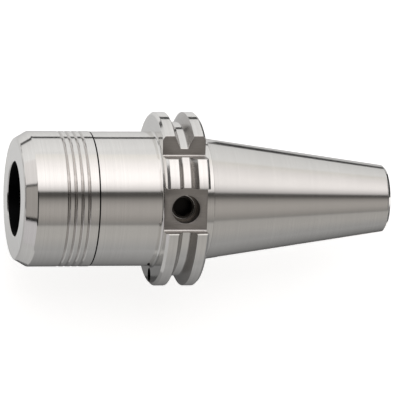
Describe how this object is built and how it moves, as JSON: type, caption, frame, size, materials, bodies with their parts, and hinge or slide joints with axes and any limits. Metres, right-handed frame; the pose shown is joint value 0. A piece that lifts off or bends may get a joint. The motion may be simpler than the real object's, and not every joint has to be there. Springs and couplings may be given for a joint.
{
  "type": "collet chuck holder",
  "caption": "Steep-taper tool holder with a key-driven collet chuck: taper shank, grooved drive flange with two slots and a notch, round nose and a screwed-in front sleeve.",
  "frame": {"origin": "on the axis at the gauge line of the steep taper, where its diameter is 44.45 mm", "axes": "+X along the axis towards the taper's small end, +Z through the middle of the drive slot that holds the key hole, +Y towards the side of the right-angled notch"},
  "size_m": [0.1384, 0.0636, 0.0614],
  "materials": {
    "ground_steel": "fine ground and turned, satin",
    "turned_steel": "fine turned, satin",
    "inner_steel": "ground",
    "blackened_steel": "black oxide",
    "cage_brass": "turned",
    "seal_rubber": "matt moulded"
  },
  "bodies": {
    "holder": {"holder_body": "ground_steel", "nose_sleeve": "turned_steel", "nose_seal": "seal_rubber", "front_wiper": "seal_rubber", "draw_tube_seal": "seal_rubber", "guide_key": "inner_steel", "bearing_front_washer": "inner_steel", "rear_thrust_washer": "inner_steel", "mesh_shim": "inner_steel", "pinion_washer": "inner_steel", "pinion_snap_ring": "blackened_steel"},
    "ring_gear_set": {"ring_gear": "inner_steel", "bearing_rear_washer": "inner_steel"},
    "ball_set": {"ball_cage": "cage_brass", "bearing_balls": "inner_steel"},
    "draw_tube_set": {"draw_tube": "inner_steel"},
    "stop_screw_set": {"length_stop_screw": "blackened_steel", "stop_screw_seal": "seal_rubber"},
    "pinion_set": {"drive_pinion": "blackened_steel", "pinion_seal": "seal_rubber"}
  },
  "joints": [
    {"name": "ring_gear_spin", "type": "hinge", "parent": "holder", "child": "ring_gear_set", "pos_m": [-0.02, 0, 0], "axis": [1, 0, 0], "range_deg": [-720, 0]},
    {"name": "pinion_spin", "type": "hinge", "parent": "holder", "child": "pinion_set", "pos_m": [-0.0111, 0, 0.0165], "axis": [0, 0, 1], "range_deg": [-2520, 0]},
    {"name": "ball_cage_spin", "type": "hinge", "parent": "holder", "child": "ball_set", "pos_m": [-0.02545, 0, 0], "axis": [1, 0, 0], "range_deg": [-360, 0]},
    {"name": "draw_tube_slide", "type": "slide", "parent": "holder", "child": "draw_tube_set", "axis": [1, 0, 0], "range_m": [0, 0.003]},
    {"name": "stop_screw_slide", "type": "slide", "parent": "draw_tube_set", "child": "stop_screw_set", "axis": [1, 0, 0], "range_m": [-0.002, 0.0008]}
  ],
  "couplings": [
    {"joint": "pinion_spin", "follows": "ring_gear_spin", "ratio": 3.5},
    {"joint": "ball_cage_spin", "follows": "ring_gear_spin", "ratio": 0.5},
    {"joint": "draw_tube_slide", "follows": "ring_gear_spin", "m_per_rad": -0.00023873}
  ]
}
